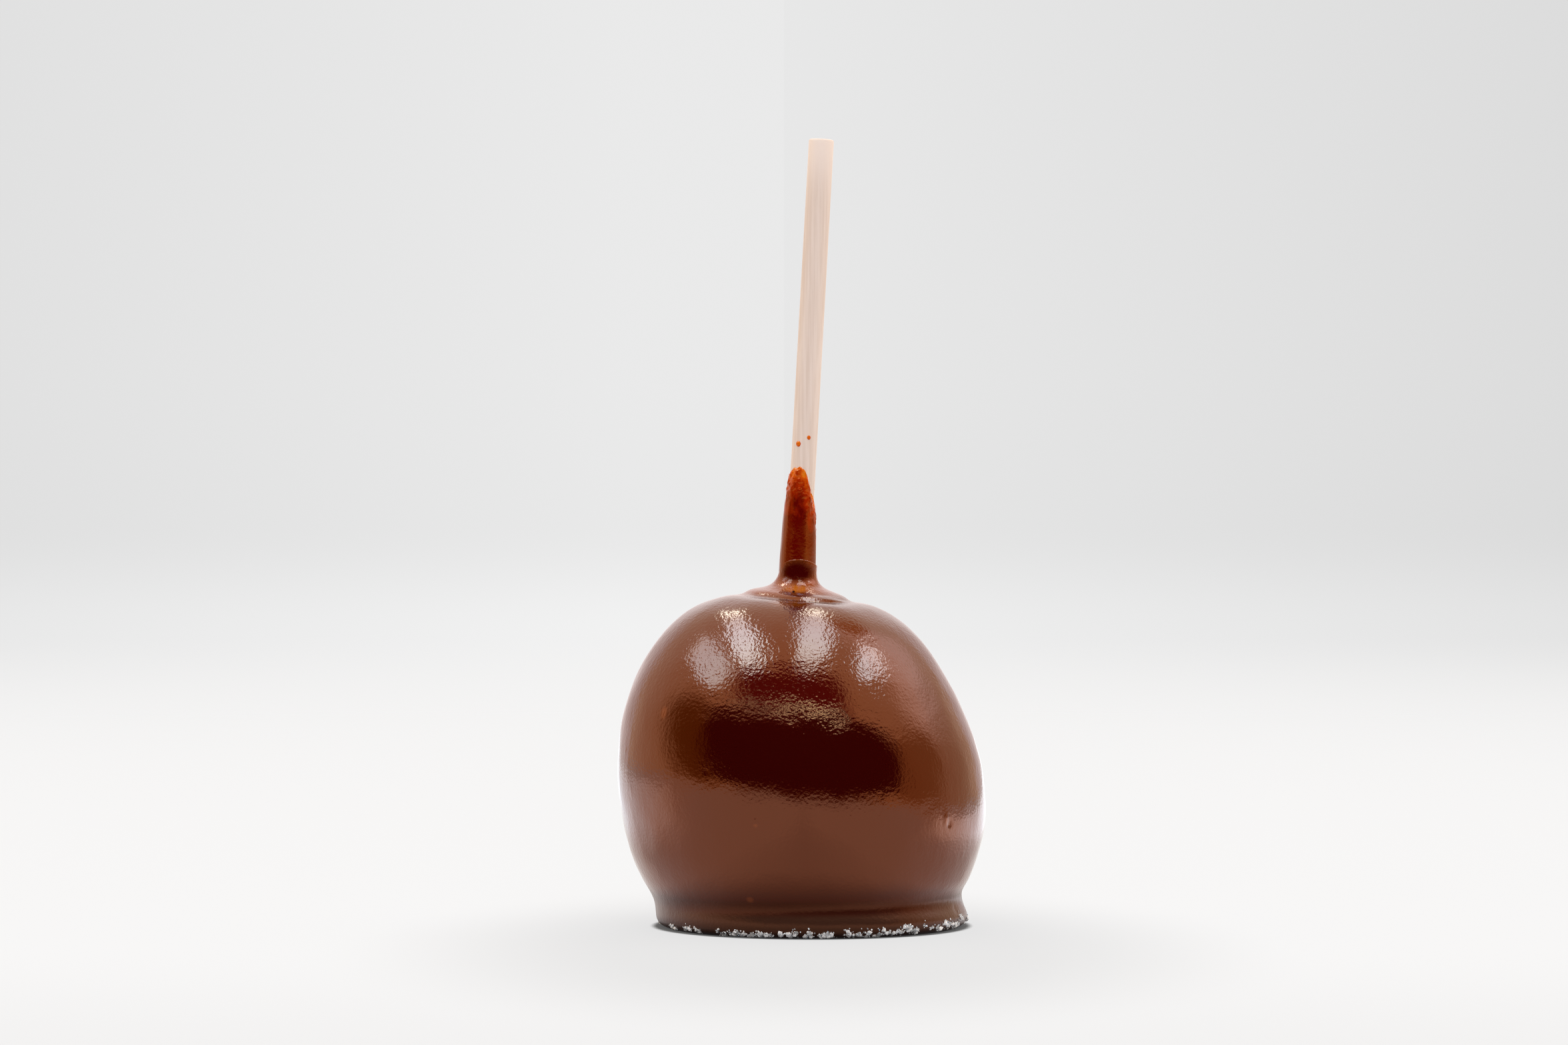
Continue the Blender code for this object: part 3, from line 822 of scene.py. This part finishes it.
FLOOR_RADIUS = 3.0
FLOOR_FADE = (0.4, 2.8)  # it fades out between these distances from the middle
FLOOR_BASE = (0.10, 0.10, 0.101)
FLOOR_SEEN_TONE = (0.90, 0.90, 0.905)
FLOOR_FRONT_TONE = (0.84, 0.96, 1.15)
FLOOR_BACK_TONE = (0.90, 0.88, 0.86)
FLOOR_TONE_TURN = (-0.08, 0.03)  # the front's tone turns into the back's between these measures
FLOOR_FLANK_TONE = (0.90, 0.98, 1.06)
FLOOR_EMISSION = 0.90

# Changes of the floor's painted light and shadow: the measures in metres where each starts and ends, and
# its light there.
FLOOR_LIGHT = {
    "far front": (-1.1, -0.48, 0.02, 0.42),
    "near front": (-0.48, -0.10, 0.0, 0.40),
    "sides": (15 * MM, 80 * MM, 0.0, 0.32),
    "back": (-40 * MM, 90 * MM, 0.0, 0.75),
    "flank": (60 * MM, 90 * MM, 0.62, 1.10),
    "far side": (-72 * MM, -56 * MM, 0.0, 0.22),
    "by the apple": (36 * MM, 57 * MM, 0.42, 1.0),
    "contact_shadow": (34.3 * MM, 36.2 * MM, 0.12, 1.0),
    "painted_shadow": (38 * MM, 105 * MM, 0.875, 1.0),
    "near edge": (-250 * MM, -50 * MM, 0.955, 1.0),
}
FORWARD_BOW = 0.9  # how much nearer to the camera the front's changes lie at 1 m to a side
SIDES_SLOPE = 0.25  # how much further aside the sides' change lies at 1 m to the back
FAR_SIDE_SLOPE = (1.335, 0.145)  # how much further back it lies at 1 m to a side, and more on the right
FAR_SIDE_Y = (-15 * MM, 5 * MM)
FLANK_X = ((65 * MM, 120 * MM), (520 * MM, 180 * MM))  # sideways, where the flanks come and go
FLANK_Y = (-60 * MM, 10 * MM)
APPLE_SHADOW_STRETCH = (1.25, 1.0, 1.0)
FOOT_MIDDLE = (2.2 * MM, 0, 0)  # of the apple
PAINTED_SHADOW_MIDDLE = (2.2 * MM, -34 * MM, 0)
PAINTED_SHADOW_STRETCH = (1.0, 0.62, 1.0)


def floor_mirrored(nodes, place, axes, forward, flank):
    """The floor's painted light as the caramel mirrors it, with a painted shadow near the apple."""
    x, y = axes["X"], axes["Y"]
    sideways = nodes.math("ABSOLUTE", x)
    away = nodes.math("SUBTRACT", sideways, nodes.product(y, SIDES_SLOPE))
    light = nodes.total(
        nodes.ease(forward, *FLOOR_LIGHT["far front"]),
        nodes.ease(forward, *FLOOR_LIGHT["near front"]),
        nodes.ease(away, *FLOOR_LIGHT["sides"]),
        nodes.ease(y, *FLOOR_LIGHT["back"]),
    )
    light = nodes.math("MINIMUM", light, 1.0)
    flank = nodes.product(flank, nodes.ease(x, *FLOOR_LIGHT["flank"]))
    slope, more_right = FAR_SIDE_SLOPE
    slanting = nodes.total(nodes.product(sideways, slope), nodes.product(x, more_right))
    far_side = nodes.ease(nodes.math("SUBTRACT", y, slanting), *FLOOR_LIGHT["far side"])
    light = nodes.total(light, flank, nodes.product(far_side, nodes.ease(y, *FAR_SIDE_Y)))
    # painted shadow of the apple on the floor as the caramel mirrors it
    from_apple = nodes.length(nodes.scaled(place, APPLE_SHADOW_STRETCH))
    return nodes.product(light, nodes.ease(from_apple, *FLOOR_LIGHT["by the apple"]))


def floor_seen(nodes, place, y):
    """The floor's light as the camera sees it, with a painted soft shadow about and in front of the
    apple.
    """
    from_middle = nodes.distance(nodes.scaled(place, PAINTED_SHADOW_STRETCH), PAINTED_SHADOW_MIDDLE)
    painted_shadow = nodes.ease(from_middle, *FLOOR_LIGHT["painted_shadow"])
    return nodes.product(painted_shadow, nodes.ease(y, *FLOOR_LIGHT["near edge"]))


def floor_material():
    material, nodes, shader = new_material("pale_floor")
    place = nodes.add("ShaderNodeNewGeometry").outputs["Position"]
    axes = nodes.axes(place)
    is_seen = nodes.add("ShaderNodeLightPath").outputs["Is Camera Ray"]
    forward = nodes.total(axes["Y"], nodes.product(nodes.math("POWER", axes["X"], 2.0), FORWARD_BOW))
    sideways = nodes.math("ABSOLUTE", axes["X"])
    flank = nodes.product(*(nodes.ease(sideways, *reach) for reach in FLANK_X))
    flank = nodes.product(flank, nodes.ease(axes["Y"], *FLANK_Y))
    mirrored = floor_mirrored(nodes, place, axes, forward, flank)
    light = nodes.mix(is_seen, mirrored, floor_seen(nodes, place, axes["Y"]))
    tone = nodes.blend(nodes.ease(forward, *FLOOR_TONE_TURN), FLOOR_FRONT_TONE, FLOOR_BACK_TONE)
    tone = nodes.blend(flank, tone, FLOOR_FLANK_TONE)
    tone = nodes.blend(is_seen, tone, FLOOR_SEEN_TONE)
    # painted contact shadow on the floor round the apple's foot
    contact_shadow = nodes.ease(nodes.distance(place, FOOT_MIDDLE), *FLOOR_LIGHT["contact_shadow"])
    inputs = {0: tone, "Scale": nodes.product(light, contact_shadow)}
    nodes.shade(
        shader,
        Base_Color=nodes.blend(light, (0.0, 0.0, 0.0), FLOOR_BASE),
        Roughness=0.8,
        Specular_IOR_Level=0.0,
        Emission_Color=nodes.add("ShaderNodeVectorMath", inputs, operation="SCALE").outputs[0],
        Emission_Strength=FLOOR_EMISSION,
    )
    clear = nodes.add("ShaderNodeBsdfTransparent").outputs[0]
    fade = nodes.ease(nodes.length(place), *FLOOR_FADE)
    mixed = nodes.add("ShaderNodeMixShader", {0: fade, 1: shader.outputs[0], 2: clear})
    output = material.node_tree.nodes["Material Output"]
    nodes.tree.links.new(mixed.outputs[0], output.inputs["Surface"])
    return material


def make_floor():
    """A pale round floor that fades into the backdrop."""
    mesh = bmesh.new()
    bmesh.ops.create_circle(mesh, cap_ends=True, radius=FLOOR_RADIUS, segments=96)
    floor = link_built_mesh("floor", mesh)
    floor.data.materials.append(floor_material())


# Lamps

LAMP_HEIGHT = 1.2
# Strip lamps over the apple: x at the middle, half width, front end and back end, each as a share of
# the lamps' height, how much further back the front end is on the right than on the left, the shares
# of its width by which it narrows to the back on the left and on the right, and the radiance. Places
# along a lamp are shares of that height too, from the front to the back.
LAMPS = (
    (-0.405, 0.155, -0.66, 0.80, 0.12, 0.45, 0.0, 8.2),
    (0.23, 0.20, -0.74, 0.76, 0.33, 0.10, 0.36, 6.6),
    (0.88, 0.20, -0.36, 0.36, 0.0, 0.0, 0.0, 6.6),
    (-0.90, 0.28, -0.62, 0.40, 0.0, 0.0, 0.0, 4.1),
)
LAMP_FRONT_COLOUR = (0.43, 1.22, 2.4)
LAMP_BACK_COLOUR = (0.31, 0.50, 0.53)
LAMP_COLOUR_ALONG = (-0.35, 0.62)  # where the front's colour turns into the back's
LAMP_NARROWING = (-0.1, 0.55)  # where it starts to narrow and is at its narrowest
LAMP_SOFT_SIDES = 0.3  # the share of its width over which each side fades
LAMP_SOFT_FRONT = 0.22
LAMP_SOFT_BACK = 0.12
LAMP_BRIGHT_BACK = (0.3, 0.6, 1.0, 3.2)  # where its back part starts, where it is full, and both lights
FILL_LAMP = {
    "place": (0.0, -1.6, 1.3),
    "aim": (math.radians(52), 0, 0),
    "size": (2.4, 1.6),
    "radiance": 1.78,
}


def add_lamp(name, place, aim, size, radiance):
    data = bpy.data.lights.new(name, "AREA")
    data.shape = "RECTANGLE"
    data.size, data.size_y = size
    data.energy = radiance * math.pi * size[0] * size[1]
    lamp = bpy.data.objects.new(name, data)
    lamp.location = place
    lamp.rotation_euler = aim
    lamp.visible_camera = False
    bpy.context.scene.collection.objects.link(lamp)
    return lamp


def soften_strip(data, front, back, slant, narrow_left, narrow_right):
    """Gives a strip lamp soft edges, a bluer front and a brighter back."""
    data.use_nodes = True
    nodes = Nodes(data.node_tree)
    spot = nodes.add("ShaderNodeNewGeometry").outputs["Parametric"]
    axes = nodes.axes(spot)
    inputs = {"Value": axes["Y"], "To Min": front, "To Max": back}
    along = nodes.add("ShaderNodeMapRange", inputs).outputs["Result"]
    left_edge = nodes.ease(along, *LAMP_NARROWING, 0.0, narrow_left)
    right_edge = nodes.ease(along, *LAMP_NARROWING, 1.0, 1.0 - narrow_right)
    slanted = nodes.math("SUBTRACT", along, nodes.product(axes["X"], slant))
    share = nodes.product(
        nodes.ease(nodes.math("SUBTRACT", axes["X"], left_edge), 0.0, LAMP_SOFT_SIDES),
        nodes.ease(nodes.math("SUBTRACT", right_edge, axes["X"]), 0.0, LAMP_SOFT_SIDES),
        nodes.ease(slanted, front, front + LAMP_SOFT_FRONT),
        nodes.ease(along, back, back - LAMP_SOFT_BACK),
        nodes.ease(along, *LAMP_BRIGHT_BACK),
    )
    nodes.shade(
        data.node_tree.nodes["Emission"],
        Color=nodes.blend(nodes.ease(along, *LAMP_COLOUR_ALONG), LAMP_FRONT_COLOUR, LAMP_BACK_COLOUR),
        Strength=share,
    )


def make_lamps():
    """Strips over the apple for the caramel to mirror, and a lamp in front that it doesn't mirror."""
    for index, (x, half_width, front, back, slant, *narrow, radiance) in enumerate(LAMPS):
        place = Vector((x, (front + back) / 2, 1)) * LAMP_HEIGHT
        size = (2 * half_width * LAMP_HEIGHT, (back - front) * LAMP_HEIGHT)
        lamp = add_lamp(f"strip_{index}", place, (0, 0, 0), size, radiance)
        lamp.visible_diffuse = False
        soften_strip(lamp.data, front, back, slant, *narrow)
    fill = add_lamp("fill", **FILL_LAMP)
    fill.visible_glossy = False


# Tent and backdrop. Sides and heights are in degrees; the back of the scene is at 180.

LOW_WALL_FRONT = (1.05, 0.86, 0.57)
LOW_WALL_BACK = (1.08, 0.84, 0.62)
LOW_WALL_SIDES = (85, 130)
ROOF = (1.3, 1.2, 1.02)
ROOF_HEIGHTS = (5, 60)
# Lighter parts of the back: the side that each lies opposite to, how far from that side it starts and
# is full, the heights where it ends, those where it starts if it does, and its light.
LIGHT_BACKS = (
    (3.5, (141, 144.5), (18, 42), None, (1.12, 1.0, 0.98)),
    (0.0, (148, 168), (30, 58), (8, 22), (1.45, 1.42, 1.42)),
)
# Patches of the tent as the caramel mirrors them: middle and reach in degrees of side and height, how
# square the patch is, how soft its edge is, and its light.
PATCHES = (
    ((113, 42), (20, 22), 2, 0.5, (2.0, 2.1, 2.25)),
    ((131, 56), (15, 8), 2, 0.5, (0.95, 0.50, 0.18)),
    ((114, 5), (24, 18), 2, 0.5, (0.86, 0.66, 0.44)),
    ((81, 13), (22, 14), 3, 0.30, (0.62, 0.42, 0.20)),
    ((-68, 15), (26, 16), 2, 0.45, (0.26, 0.16, 0.01)),
    ((0, 46), (48, 12), 3, 0.22, (0.25, 0.03, 0.03)),
    ((0, -4.0), (46, 10), 2, 0.35, (0.30, 0.20, 0.12)),
    ((3.5, 18.5), (67, 17.4), 3.6, 0.12, (0.01, 0.004, 0.004)),
)
# A thin bowed band of light over the dark opening.
GLOW_MIDDLE = (-6, 39.3)
GLOW_DROOP = 0.0018  # degrees by which it droops, for each degree aside squared
GLOW_HALF_HEIGHT = 1.35
GLOW_HALF_WIDTH = 48
GLOW_SOFT_HEIGHT = (0.4, 1.2)  # shares of its half height between which it fades
GLOW_SOFT_WIDTH = (0.65, 1.05)
GLOW_LEFT = (-36, 16, 0.25, 1.0)  # the sides where its weak left part ends, and both strengths
GLOW_LIGHT = (3.5, 6.1, 7.0)

BACKDROP_BELOW = (-1.4, 0.0, 0.885, 0.812)  # heights below the horizon, and the light at both
BACKDROP_ABOVE = 0.82
BACKDROP_TURN = (0.0, 2.0)  # heights between which the lower light turns into the upper
BACKDROP_FULL_TO = 178.0  # nearer to the front than this side it starts to darken
BACKDROP_EARLIER_RIGHT = 4.0  # degrees by which it starts to darken earlier on the right
BACKDROP_FALLOFF = 0.0105  # per degree
BACKDROP_LEAST = 0.86


def tent_light(nodes, side, height, behind):
    """The walls and the roof of the tent, with lighter parts at the back."""
    walls = nodes.blend(nodes.ease(behind, *LOW_WALL_SIDES), LOW_WALL_FRONT, LOW_WALL_BACK)
    light = nodes.blend(nodes.ease(height, *ROOF_HEIGHTS), walls, ROOF)
    for middle, sides, end_heights, start_heights, back_light in LIGHT_BACKS:
        share = nodes.ease(nodes.apart(side, middle), *sides)
        share = nodes.product(share, nodes.ease(height, *end_heights, 1.0, 0.0))
        if start_heights:
            share = nodes.product(share, nodes.ease(height, *start_heights))
        light = nodes.blend(share, light, back_light)
    return light


def add_patches(nodes, light, side, height):
    """The tent's light with its patches laid over it in turn."""
    for middle, reach, squareness, soft, colour in PATCHES:
        powers = []
        for value, centre, half in zip((side, height), middle, reach):
            share = nodes.math("DIVIDE", nodes.apart(value, centre), half)
            powers.append(nodes.math("POWER", share, squareness))
        distance = nodes.math("POWER", nodes.total(*powers), 1 / squareness)
        light = nodes.blend(nodes.ease(distance, 1 - soft, 1 + soft, 1.0, 0.0), light, colour)
    return light


def add_glow(nodes, light, side, height):
    """The tent's light with the band of light laid over it."""
    middle_side, middle_height = GLOW_MIDDLE
    aside = nodes.math("SUBTRACT", side, middle_side)
    level = nodes.total(height, nodes.product(nodes.math("POWER", aside, 2.0), GLOW_DROOP))
    up = nodes.math("DIVIDE", nodes.apart(level, middle_height), GLOW_HALF_HEIGHT)
    across = nodes.math("DIVIDE", nodes.apart(side, middle_side), GLOW_HALF_WIDTH)
    share = nodes.product(
        nodes.ease(up, *GLOW_SOFT_HEIGHT, 1.0, 0.0),
        nodes.ease(across, *GLOW_SOFT_WIDTH, 1.0, 0.0),
        nodes.ease(side, *GLOW_LEFT),
    )
    return nodes.blend(share, light, GLOW_LIGHT)


def backdrop_light(nodes, side, height, behind):
    """The plain grey backdrop that the camera sees, a little darker towards its sides."""
    lower = nodes.ease(height, *BACKDROP_BELOW)
    light = nodes.mix(nodes.ease(height, *BACKDROP_TURN), lower, BACKDROP_ABOVE)
    aside = nodes.math("SUBTRACT", BACKDROP_FULL_TO, behind)
    is_left = nodes.math("LESS_THAN", side, 0.0)
    aside = nodes.total(aside, nodes.mix(is_left, BACKDROP_EARLIER_RIGHT, 0.0))
    darker = nodes.product(nodes.math("MAXIMUM", aside, 0.0), BACKDROP_FALLOFF)
    falloff = nodes.math("MAXIMUM", nodes.math("SUBTRACT", 1.0, darker), BACKDROP_LEAST)
    light = nodes.product(light, falloff)
    return nodes.add("ShaderNodeCombineXYZ", {0: light, 1: light, 2: light}).outputs[0]


def make_world():
    """A white tent with a dark opening on the side of the camera, plain pale to the camera itself."""
    world = bpy.data.worlds.new("tent")
    bpy.context.scene.world = world
    world.use_nodes = True
    nodes = Nodes(world.node_tree)
    direction = nodes.add("ShaderNodeTexCoord").outputs["Generated"]
    axes = nodes.axes(direction)
    to_front = nodes.product(axes["Y"], -1.0)
    side = nodes.math("DEGREES", nodes.math("ARCTAN2", axes["X"], to_front))
    behind = nodes.math("ABSOLUTE", side)
    height = nodes.math("DEGREES", nodes.math("ARCSINE", axes["Z"]))
    light = tent_light(nodes, side, height, behind)
    light = add_glow(nodes, add_patches(nodes, light, side, height), side, height)
    backdrop = backdrop_light(nodes, side, height, behind)
    is_seen = nodes.add("ShaderNodeLightPath").outputs["Is Camera Ray"]
    nodes.shade(
        world.node_tree.nodes["Background"],
        Color=nodes.blend(is_seen, light, backdrop),
        Strength=1.0,
    )


def make_camera():
    data = bpy.data.cameras.new("camera")
    data.lens = CAMERA_LENS
    data.sensor_width = CAMERA_SENSOR
    camera = bpy.data.objects.new("camera", data)
    camera.location = (CAMERA_X, -CAMERA_DISTANCE, CAMERA_HEIGHT)
    camera.rotation_euler = (math.radians(90), 0, 0)
    bpy.context.scene.collection.objects.link(camera)
    bpy.context.scene.camera = camera


def dress(piece, material, slot, *nodes):
    """Gives a piece its material, and lets it stand for solids of the frame. Its slot is not used."""
    piece.data.materials.append(material)
    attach(piece, "root")
    if nodes:
        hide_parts(*nodes)


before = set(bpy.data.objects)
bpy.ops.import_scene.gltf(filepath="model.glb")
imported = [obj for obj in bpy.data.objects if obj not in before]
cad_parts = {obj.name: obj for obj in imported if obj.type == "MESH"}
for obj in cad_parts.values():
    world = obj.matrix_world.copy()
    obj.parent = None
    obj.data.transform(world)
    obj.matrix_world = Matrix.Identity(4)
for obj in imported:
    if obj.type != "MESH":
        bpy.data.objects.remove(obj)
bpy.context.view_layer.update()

make_camera()
make_floor()
make_lamps()
make_world()
amber = tongue_material()
dress(make_coat(), caramel_material(), "caramel", "coated_apple")
dress(make_sleeve(), amber, "amber_caramel", "caramel_sleeve")
dress(make_drops(), amber, "amber_caramel")
dress(make_stick(), birch_material(), "birch", "stick")
dress(make_sugar(), sugar_material(), "sugar")
bpy.context.scene.view_settings.view_transform = "Standard"
